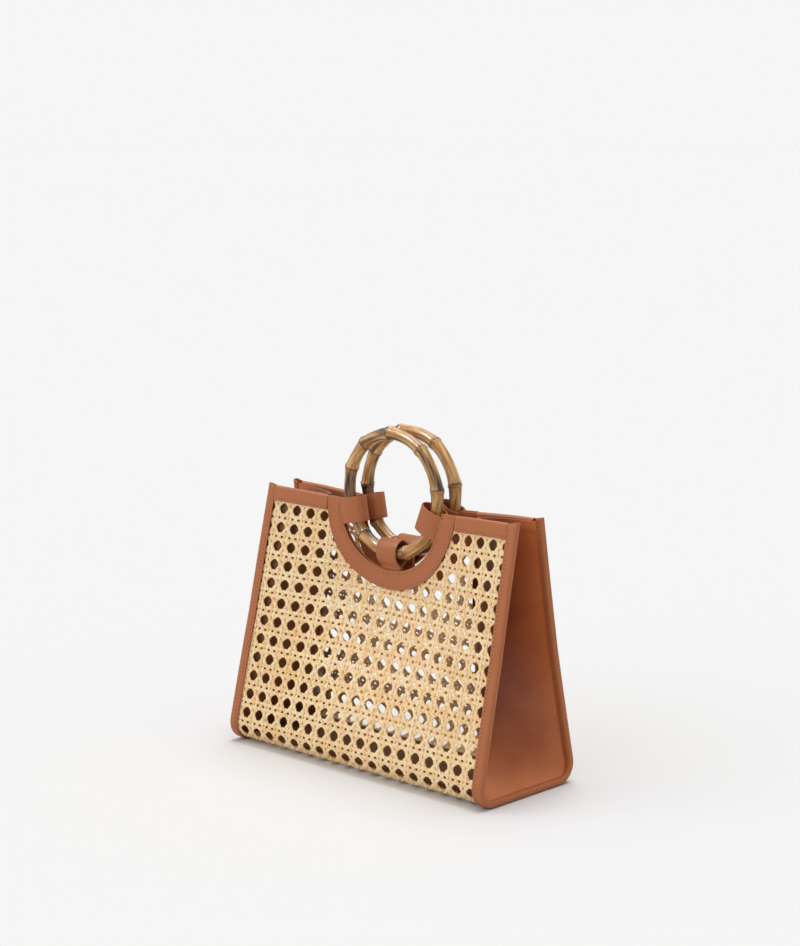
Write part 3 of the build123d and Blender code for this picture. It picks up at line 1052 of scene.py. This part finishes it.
def loop_line(side, centre, place):
    """Middle of a loop's strap seen along the ring's tube: distance along the strap's way, and depth."""
    weave = settings().weave
    radius = settings().ring.radius
    slack = LOOPS[place][2] * MM
    way, start = loop_way(place)

    def sheet_depth(reach):
        across, up = start + way * reach
        down = BAG_HEIGHT - centre.z - up
        return on_sheet(across, on_face(side, down), weave.sheet_middle)[1]

    tail = radius + 15 * MM
    mouth = radius + 9.5 * MM
    layer = 0.6 * MM
    open_side = 7.0 * MM
    throat_depth = 0.75 * sheet_depth(mouth) + 0.25 * centre.y
    places = [
        (tail, sheet_depth(tail), layer),
        (mouth, sheet_depth(mouth), layer),
        (radius + 8.3 * MM, throat_depth, 2.4 * MM),
        (radius + 3 * MM, centre.y, open_side),
        (radius - 4 * MM, centre.y, open_side + 0.3 * MM),
        (radius - slack + 2.4 * MM, centre.y, 4.8 * MM),
    ]
    front = [(reach, middle + side * half) for reach, middle, half in places]
    back = [(reach, middle - side * half) for reach, middle, half in reversed(places)]
    return smooth_line([*front, (radius - slack, centre.y), *back], 6)


class BAG_OT_loops(bpy.types.Operator):
    """Hang the leather loops between the collars and the rings"""

    bl_idname = "basket_bag.loops"
    bl_label = "Loops"

    def execute(self, context):
        leather = settings().leather
        for face, side in FACES.items():
            centre = RING_CENTRES[f"{face}_ring"]
            for place in LOOPS:
                way, start = loop_way(place)
                line = loop_line(side, centre, place)
                band = outline(line, LOOP_THICKNESS)
                count = len(line)
                radial = np.array((way[0], 0, way[1]))
                beside = np.array((-way[1], 0, way[0]))
                middle = np.array((centre.x + start[0], 0, centre.z + start[1]))
                edges = np.linspace(-leather.loop_width / 2, leather.loop_width / 2, 5)
                path = middle + band[:, :1] * radial + band[:, 1:] * np.array((0, 1, 0))
                upper = path[:count, None] + edges[None, :, None] * beside
                lower = path[count:][::-1, None] + edges[None, ::-1, None] * beside
                stations = np.concatenate([upper, lower], axis=1)
                leather_piece(f"loop_{face}_{place}", stations, 0.25 * MM)
        return {"FINISHED"}


class BAG_OT_base_board(bpy.types.Operator):
    """Lay the covered board on the base"""

    bl_idname = "basket_bag.base_board"
    bl_label = "Base Board"

    def execute(self, context):
        low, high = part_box("base_board")
        middle = (low + high) / 2
        half = (high - low) / 2
        turn = np.linspace(0, 2 * np.pi, 48, endpoint=False)
        round_share = 0.14
        across = np.sign(np.cos(turn)) * np.abs(np.cos(turn)) ** round_share
        deep = np.sign(np.sin(turn)) * np.abs(np.sin(turn)) ** round_share
        levels = [(0.02, 0), (0.95, 0), (0.985, 0.1), (1, 0.35), (1, 0.65)]
        levels += [(0.985, 0.9), (0.95, 1), (0.5, 1.12), (0.02, 1.15)]
        stations = []
        for share, rise in levels:
            ring = np.column_stack([half.x * share * across, half.y * share * deep, 0 * turn])
            ring += (middle.x, middle.y - shift_forward(low.z), low.z + rise * (high.z - low.z))
            stations.append(ring)
        piece = sweep("base_board_cover", np.stack(stations))
        finish_piece(piece, kept_material("board_cover"), "bag", "lining", "base_board")
        return {"FINISHED"}


# Bamboo


def bamboo_stations(nodes):
    """Angles round a ring, closer at its nodes, each with its span, its share of it and the span's angle."""
    ring = settings().ring
    steps = np.array((0, 0.35, 0.7, 1.1, 1.6, 2.2, 3.2, 5)) * MM / ring.radius
    rows = []
    for span, start in enumerate(nodes):
        begin = math.radians(start)
        finish = math.radians(nodes[(span + 1) % len(nodes)] + (360 if span + 1 == len(nodes) else 0))
        inside = np.linspace(begin + steps[-1], finish - steps[-1], 10)[1:-1]
        angles = np.concatenate([begin + steps, inside, finish - steps[:0:-1]])
        rows += [(angle, span, (angle - begin) / (finish - begin), finish - begin) for angle in angles]
    return np.array(rows)


def swell_at(places, middle, width):
    """A soft swell of one round a middle."""
    return np.exp(-(((places - middle) / width) ** 2))


def node_bump(offset):
    """Rise of the bamboo's skin near a node: a ridge, a groove and a lower ridge."""
    near = offset / MM
    ridge = swell_at(near, -0.8, 0.9) + 0.75 * swell_at(near, 1.1, 0.8)
    return ridge - 0.4 * swell_at(near, 0.2, 0.3) + 0.45 * swell_at(near, 0, 5)


class BAG_OT_rings(bpy.types.Operator):
    """Bend the bamboo rings"""

    bl_idname = "basket_bag.rings"
    bl_label = "Bamboo Rings"

    def execute(self, context):
        ring = settings().ring
        for face, nodes in RING_NODES.items():
            centre = RING_CENTRES[f"{face}_ring"]
            angle, span, share, wide = bamboo_stations(nodes).T
            offset = np.where(share < 0.5, share, share - 1) * wide * ring.radius
            around = np.linspace(0, 2 * np.pi, 20, endpoint=False)
            seed = span * SPAN_SEED + FACE_SEEDS[face]
            bud = swell_at(offset / MM, 1.8, 1.5)[:, None]
            facing = swell_at(np.mod(around[None, :] - seed[:, None] * 1.7, 2 * np.pi), np.pi, 0.4)
            swell = node_bump(offset)[:, None] + 0.35 * bud * facing
            oval = 0.02 * np.cos(2 * around[None, :] + seed[:, None])
            waist = 0.92 + 0.07 * (2 * share - 1)[:, None] ** 2
            tube = ring.tube * (waist + oval) + ring.node_rise * swell
            hollow = ring.flatness * (4 * share * (1 - share) - 0.5)
            bent = ring.radius - hollow + 0.15 * MM * np.sin(2 * angle + 1)
            reach = bent[:, None] + tube * np.cos(around)
            stations = np.stack(
                [
                    centre.x + reach * np.cos(angle)[:, None],
                    centre.y + tube * np.sin(around),
                    centre.z + reach * np.sin(angle)[:, None],
                ],
                axis=-1,
            )
            piece = sweep(f"ring_{face}_bamboo", stations, closed=True)
            along = angle * ring.radius / GRAIN_LENGTH + span * SPAN_GRAIN
            grain = np.stack(
                [
                    np.broadcast_to(GRAIN_ROUND * np.cos(around), tube.shape),
                    np.broadcast_to(GRAIN_ROUND * np.sin(around), tube.shape),
                    np.broadcast_to(along[:, None], tube.shape),
                ],
                axis=-1,
            )
            groove = swell_at(offset / MM, 0.2, 0.5)[:, None] + 0.6 * bud * facing
            # A dark pattern that differs by span, darker towards the side of the tube that faces the ring's
            # middle.
            burn = 0.16 * np.cos(around - seed[:, None]) - 0.08 * np.cos(around)
            burn += 0.06 * np.sin(seed * 3.1)[:, None]
            mark_points(piece.data, "grain", grain, "FLOAT_VECTOR", "vector")
            mark_points(piece.data, "groove", groove)
            mark_points(piece.data, "burn", burn)
            skin = kept_material("flamed_bamboo")
            finish_piece(piece, skin, f"{face}_ring", "bamboo", f"ring_handle_{face}")
        return {"FINISHED"}


# Stitches


def seam_lines():
    """Every sewn line: its points and the way out of the leather at each."""
    leather = settings().leather
    inset = settings().stitch.inset
    skin = leather.outer_leaf + leather.thickness / 2
    sheet = 2 * half_sheet()
    seams = []

    def sew(across, along, out, way):
        points = on_sheet(across, along, out)
        beyond = on_sheet(across, along, out + way * 0.5 * MM)
        seams.append((points, beyond - points))

    edge = HALF_WIDTH - leather.edge_width + inset
    lining = HALF_WIDTH - leather.lining_width + inset
    run = np.linspace(2 * MM, sheet - 2 * MM, 300)
    for side in HANDS.values():
        sew(side * edge, run, skin, 1)
        sew(side * lining, run, leather.lining_leaf - leather.thickness / 2, -1)
    places = np.linspace(TOP_BINDING_START + 1 * MM, TOP_BINDING_END - 1 * MM, 40)
    ends = np.linspace(leather.collar_inner + 2 * inset, leather.collar_outer - 2 * inset, 8)
    for face in FACES.values():
        for side in HANDS.values():
            sew(side * places, on_face(face, leather.top_height - leather.top_rise - inset), skin, 1)
        for radius in (leather.collar_inner + inset, leather.collar_outer - inset):
            across, down = collar_places(radius, np.linspace(0.012, 0.988, 160))
            sew(across, on_face(face, down), skin + tail_relief(across, down), 1)
        for side in HANDS.values():
            sew(side * ends, on_face(face, inset - leather.top_rise), skin, 1)
    height = GUSSET_TOP - leather.hem + inset
    hem = outline(gusset_line(height), HEM_LAYERS * leather.thickness)
    half = len(hem) // 2
    inner = hem[6 : half - 6]
    outer = hem[half + 6 : -6]
    middle = (inner + outer[::-1]) / 2
    for side in HANDS.values():
        for plan, core in ((outer, middle[::-1]), (inner, middle)):
            points, inside = [settle(beside_each(line * (side, 1), height)) for line in (plan, core)]
            seams.append((points, points - inside))
    return seams


def stitch_shape():
    """One stitch: a short bead of thread, and the painted shade of the needle hole at its end."""
    stitch = settings().stitch
    work = bmesh.new()
    bead = bmesh.ops.create_uvsphere(work, u_segments=6, v_segments=4, radius=0.5)["verts"]
    for vertex in bead:
        height, deep, reach = vertex.co
        vertex.co = Vector((reach * stitch.long, deep * stitch.wide, height * 0.8 * stitch.wide))
    # The needle hole is a flattened dark lump on the leather: painted shade where the thread goes in.
    hole = bmesh.ops.create_uvsphere(work, u_segments=6, v_segments=4, radius=0.5)["verts"]
    for vertex in hole:
        vertex.co.x = vertex.co.x * 0.8 * MM + stitch.spacing / 2
        vertex.co.y *= 1.0 * MM
        vertex.co.z *= 0.25 * MM
    sunk = work.faces.layers.bool.new("hole")
    for vertex in hole:
        for face in vertex.link_faces:
            face[sunk] = True
    mesh = bpy.data.meshes.new("stitch")
    work.to_mesh(mesh)
    work.free()
    return new_piece("stitch", mesh)


def stitch_tree():
    """Stitches set along sewn lines, turned to lie on the leather."""
    sockets = {"Stitch": "Object", "Spacing": "Float", "Thread": "Material", "Hole": "Material"}
    tree, given = new_geometry_tree("Sewn lines", sockets)
    lines = add_node(tree, "GeometryNodeMeshToCurve", {"Mesh": given.outputs["Geometry"]})
    spacing = {"Curve": lines.outputs[0], "Length": given.outputs["Spacing"]}
    spaced = add_node(tree, "GeometryNodeResampleCurve", spacing, mode="LENGTH").outputs[0]
    tangent = {"Vector": add_node(tree, "GeometryNodeInputTangent").outputs[0]}
    ahead = add_node(tree, "FunctionNodeAlignRotationToVector", tangent, axis="X", pivot_axis="AUTO")
    way = add_node(tree, "GeometryNodeInputNamedAttribute", {"Name": "way_out"}, data_type="FLOAT_VECTOR")
    outward = {"Rotation": ahead.outputs[0], "Vector": way.outputs[0]}
    upright = add_node(tree, "FunctionNodeAlignRotationToVector", outward, axis="Z", pivot_axis="X")
    sewn = copies_on_points(tree, spaced, given.outputs["Stitch"], Rotation=upright.outputs[0])
    sunk = add_node(tree, "GeometryNodeInputNamedAttribute", {"Name": "hole"}, data_type="BOOLEAN")
    thread = dressed(tree, sewn, given.outputs["Thread"])
    holes = dressed(tree, thread, given.outputs["Hole"], sunk.outputs[0])
    add_node(tree, "NodeGroupOutput", {0: holes})
    return tree


class BAG_OT_stitches(bpy.types.Operator):
    """Sew the leather"""

    bl_idname = "basket_bag.stitches"
    bl_label = "Stitches"

    def execute(self, context):
        points = []
        ways = []
        edges = []
        for line, way in seam_lines():
            start = len(points)
            points += line.tolist()
            ways += (way / np.linalg.norm(way, axis=1)[:, None]).tolist()
            edges += [(start + step, start + step + 1) for step in range(len(line) - 1)]
        mesh = bpy.data.meshes.new("stitches")
        mesh.from_pydata(points, edges, [])
        mark_points(mesh, "way_out", ways, "FLOAT_VECTOR", "vector")
        piece = new_piece("stitches", mesh)
        shape = stitch_shape()
        values = {
            "Stitch": shape,
            "Spacing": settings().stitch.spacing,
            "Thread": kept_material("sewing_thread"),
            "Hole": kept_material("needle_hole"),
        }
        run_tree(piece, stitch_tree(), values)
        bpy.data.objects.remove(shape)
        piece.data.shade_smooth()
        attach(piece, "bag")
        return {"FINISHED"}


# Stage


def floor_material():
    """Matt painted studio floor: pale and even, so that only the bag's shadow shows on it."""
    material, tree = new_material("studio_floor_paint")
    shade = tuple(settings().colours.floor)
    shader = add_node(tree, "ShaderNodeBsdfDiffuse", {"Color": shade, "Roughness": 0.0})
    add_node(tree, "ShaderNodeOutputMaterial", {"Surface": shader.outputs[0]})
    return material


def away(azimuth, elevation):
    """Way from the bag towards a camera or lamp at an azimuth and elevation."""
    level = math.cos(elevation)
    return Vector((math.sin(azimuth) * level, -math.cos(azimuth) * level, math.sin(elevation)))


def turned_to_bag(back):
    """Turn of a camera or lamp that looks back along its way from the bag."""
    return (-back).to_track_quat("-Z", "Y").to_euler()


def lay_floor():
    """A plain floor that runs out of sight."""
    corners = [(-FLOOR_REACH, -FLOOR_REACH, 0), (FLOOR_REACH, -FLOOR_REACH, 0)]
    corners += [(FLOOR_REACH, FLOOR_REACH, 0), (-FLOOR_REACH, FLOOR_REACH, 0)]
    mesh = bpy.data.meshes.new("studio_floor")
    mesh.from_pydata(corners, [], [(0, 1, 2, 3)])
    floor = new_piece("studio_floor", mesh)
    mesh.materials.append(floor_material())


def light_air(scene):
    """Light from all round, with a brighter backdrop where it is seen or mirrored."""
    world = bpy.data.worlds.new("studio_air")
    world.use_nodes = True
    scene.world = world
    tree = world.node_tree
    tree.nodes.clear()
    rays = add_node(tree, "ShaderNodeLightPath").outputs
    seen = arithmetic(tree, "MAXIMUM", rays["Is Camera Ray"], rays["Is Glossy Ray"])
    shown = arithmetic(tree, "MAXIMUM", seen, rays["Is Transmission Ray"])
    glow = map_range(tree, shown, 0.0, 1.0, settings().stage.sky, BACKDROP)
    air = add_node(tree, "ShaderNodeBackground", {"Color": (1, 1, 1, 1), "Strength": glow})
    add_node(tree, "ShaderNodeOutputWorld", {"Surface": air.outputs[0]})


class BAG_OT_stage(bpy.types.Operator):
    """Set the floor, the light and the camera"""

    bl_idname = "basket_bag.stage"
    bl_label = "Studio"

    def execute(self, context):
        scene = context.scene
        stage = settings().stage
        scene.view_settings.view_transform = "Standard"
        lay_floor()
        light_air(scene)
        for name, (azimuth, elevation, spread) in LAMPS.items():
            light = bpy.data.lights.new(f"{name}_lamp", "SUN")
            light.energy = getattr(stage, name)
            light.angle = math.radians(spread)
            lamp = new_piece(f"{name}_lamp", light)
            lamp.visible_diffuse = name != "shine"
            lamp.rotation_euler = turned_to_bag(away(math.radians(azimuth), math.radians(elevation)))
        lens = bpy.data.cameras.new("photo_camera")
        lens.lens = stage.lens
        lens.clip_end = 1000
        camera = new_piece("photo_camera", lens)
        back = away(stage.azimuth, stage.elevation)
        camera.location = Vector((0, stage.aim_depth, stage.aim_height)) + back * stage.distance
        camera.rotation_euler = turned_to_bag(back)
        scene.camera = camera
        return {"FINISHED"}


class BAG_PT_panel(bpy.types.Panel):
    """Lists the bag's pieces"""

    bl_idname = "BAG_PT_panel"
    bl_label = "Basket Bag"
    bl_space_type = "VIEW_3D"
    bl_region_type = "UI"
    bl_category = "Basket Bag"

    def draw(self, context):
        for operator in OPERATORS:
            self.layout.operator(operator.bl_idname)


OPERATORS = (
    BAG_OT_cane,
    BAG_OT_gussets,
    BAG_OT_edge_bindings,
    BAG_OT_top_bindings,
    BAG_OT_collars,
    BAG_OT_loops,
    BAG_OT_base_board,
    BAG_OT_rings,
    BAG_OT_stitches,
    BAG_OT_stage,
)
GROUPS = (WallSizes, WeaveSizes, LeatherSizes, RingSizes, StitchSizes, Colours, StageSettings, BasketBag)


def register():
    for group in (*GROUPS, *OPERATORS, BAG_PT_panel):
        bpy.utils.register_class(group)
    bpy.types.Scene.basket_bag = PointerProperty(type=BasketBag)


def unregister():
    del bpy.types.Scene.basket_bag
    for group in reversed((*GROUPS, *OPERATORS, BAG_PT_panel)):
        bpy.utils.unregister_class(group)


def main():
    register()
    bpy.ops.basket_bag.cane()
    bpy.ops.basket_bag.gussets()
    bpy.ops.basket_bag.edge_bindings()
    bpy.ops.basket_bag.top_bindings()
    bpy.ops.basket_bag.collars()
    bpy.ops.basket_bag.loops()
    bpy.ops.basket_bag.base_board()
    bpy.ops.basket_bag.rings()
    bpy.ops.basket_bag.stitches()
    bpy.ops.basket_bag.stage()


if __name__ == "__main__":
    main()
